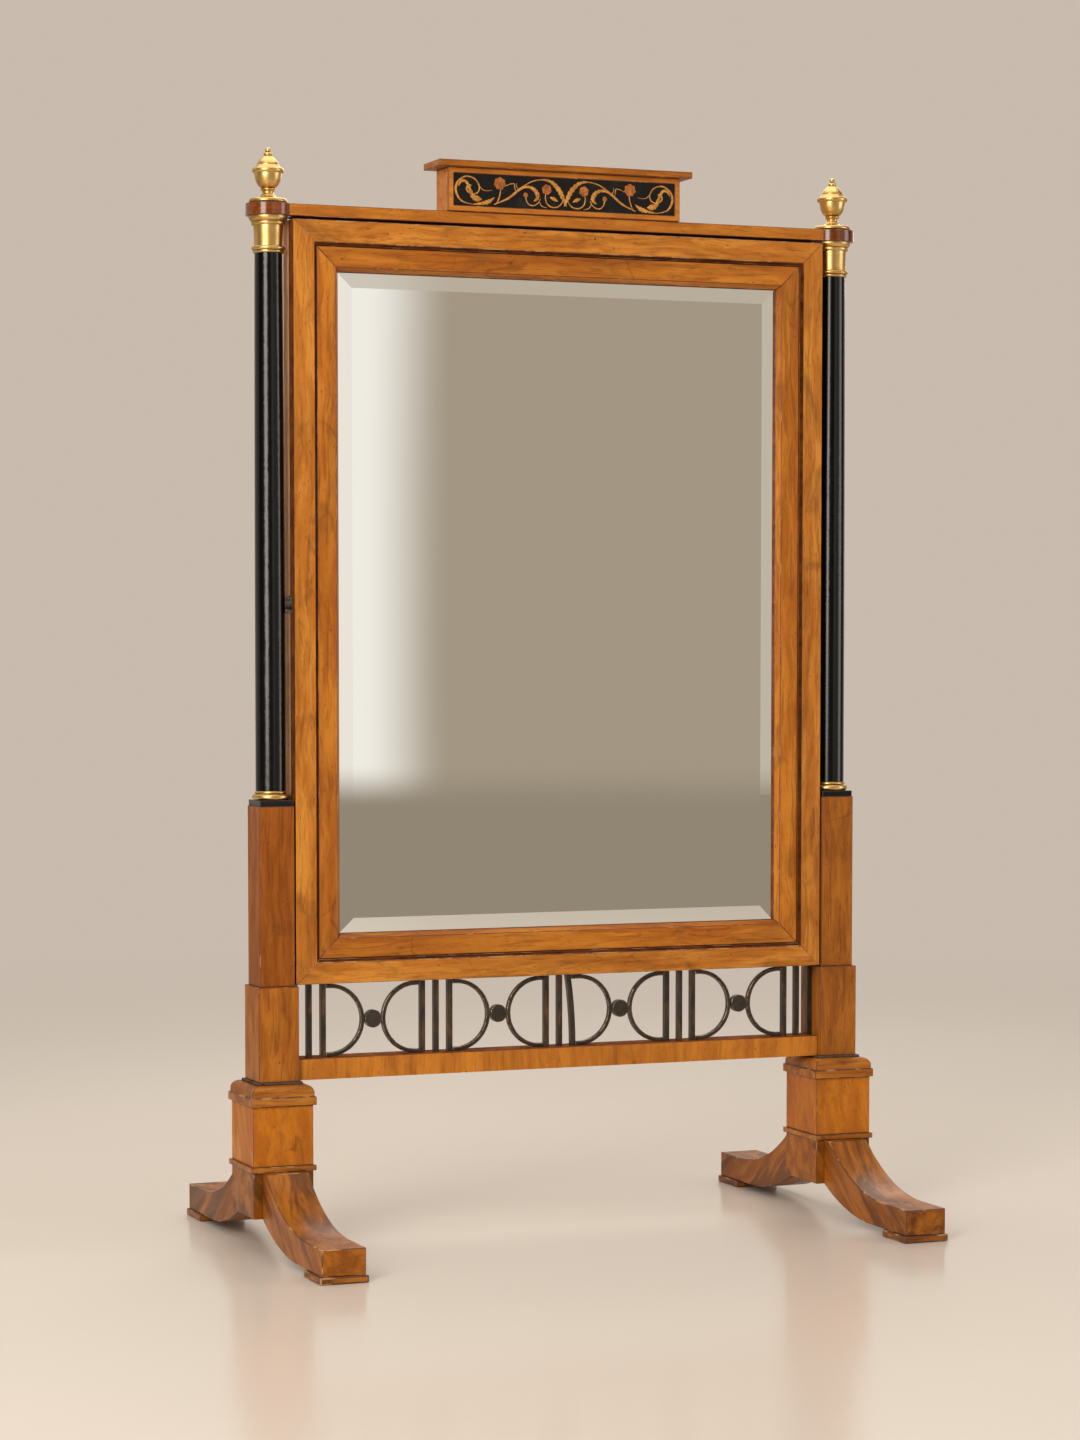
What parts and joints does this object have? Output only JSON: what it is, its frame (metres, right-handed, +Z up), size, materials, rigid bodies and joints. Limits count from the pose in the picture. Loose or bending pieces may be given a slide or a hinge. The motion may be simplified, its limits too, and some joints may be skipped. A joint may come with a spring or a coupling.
{
  "type": "cheval mirror",
  "caption": "Free-standing full-length dressing mirror with a bevelled glass in a double wooden frame that tilts between two column stands on sabre legs, with fretwork below and a crest above.",
  "frame": {"origin": "on the floor, midway between the two stands and midway between the front and back legs", "axes": "+Z up, -Y towards the viewer in front of the glass, +X towards that viewer's right"},
  "size_m": [1.1344, 0.74, 1.8],
  "materials": {
    "stand_wood": "polished honey-brown fruitwood, worn",
    "frame_wood": "polished honey fruitwood veneer",
    "inner_frame_wood": "polished amber fruitwood",
    "rail_wood": "polished red-brown wood",
    "pad_wood": "dull brown wood",
    "bead_wood": "polished honey-brown wood",
    "secondary_wood": "unpolished softwood, toned by age",
    "ebonised_wood": "high-gloss black polish",
    "gilt_brass": "satin gilt, dark in the hollows",
    "fretwork": "blackened, worn brown on the front edges",
    "crest_panel": "black ground with ochre scrolling foliage",
    "mirror_glass": "silvered, wide bevel",
    "pivot_steel": "dull turned steel",
    "plate_brass": "aged brass",
    "screw_steel": "dull steel"
  },
  "bodies": {
    "stand": {"back_leg_left": "stand_wood", "back_leg_right": "stand_wood", "bottom_rail": "rail_wood", "capital_left": "gilt_brass", "capital_right": "gilt_brass", "column_base_left": "gilt_brass", "column_base_right": "gilt_brass", "column_left": "ebonised_wood", "column_plinth_left": "ebonised_wood", "column_plinth_right": "ebonised_wood", "column_right": "ebonised_wood", "crest_bead": "bead_wood", "crest_box": "rail_wood", "crest_panel": "crest_panel", "crest_top": "rail_wood", "finial_left": "gilt_brass", "finial_right": "gilt_brass", "fret_discs": "fretwork", "fret_half_rings": "fretwork", "fret_rods": "fretwork", "front_leg_left": "stand_wood", "front_leg_right": "stand_wood", "leg_block_left": "stand_wood", "leg_block_right": "stand_wood", "lower_fillet_left": "stand_wood", "lower_fillet_right": "stand_wood", "lower_post_left": "stand_wood", "lower_post_right": "stand_wood", "pedestal_cap_left": "stand_wood", "pedestal_cap_right": "stand_wood", "pedestal_left": "stand_wood", "pedestal_right": "stand_wood", "pivot_pin_left": "pivot_steel", "pivot_pin_right": "pivot_steel", "post_plinth_left": "ebonised_wood", "post_plinth_right": "ebonised_wood", "rail_end_left": "rail_wood", "rail_end_right": "rail_wood", "toe_pads": "pad_wood", "top_rail": "rail_wood", "upper_post_left": "stand_wood", "upper_post_right": "stand_wood"},
    "mirror_frame": {"back_board": "secondary_wood", "back_cleats": "secondary_wood", "inner_frame_bottom": "inner_frame_wood", "inner_frame_left": "inner_frame_wood", "inner_frame_right": "inner_frame_wood", "inner_frame_top": "inner_frame_wood", "mirror_glass": "mirror_glass", "outer_frame_bottom": "frame_wood", "outer_frame_left": "frame_wood", "outer_frame_right": "frame_wood", "outer_frame_top": "frame_wood", "pivot_plate_left": "plate_brass", "pivot_plate_right": "plate_brass", "plate_screws": "screw_steel", "rear_frame_bottom": "secondary_wood", "rear_frame_left": "secondary_wood", "rear_frame_right": "secondary_wood", "rear_frame_top": "secondary_wood"}
  },
  "joints": [
    {"name": "tilt", "type": "hinge", "parent": "stand", "child": "mirror_frame", "pos_m": [0, 0, 1.06], "axis": [1, 0, 0], "range_deg": [-30, 30]}
  ]
}
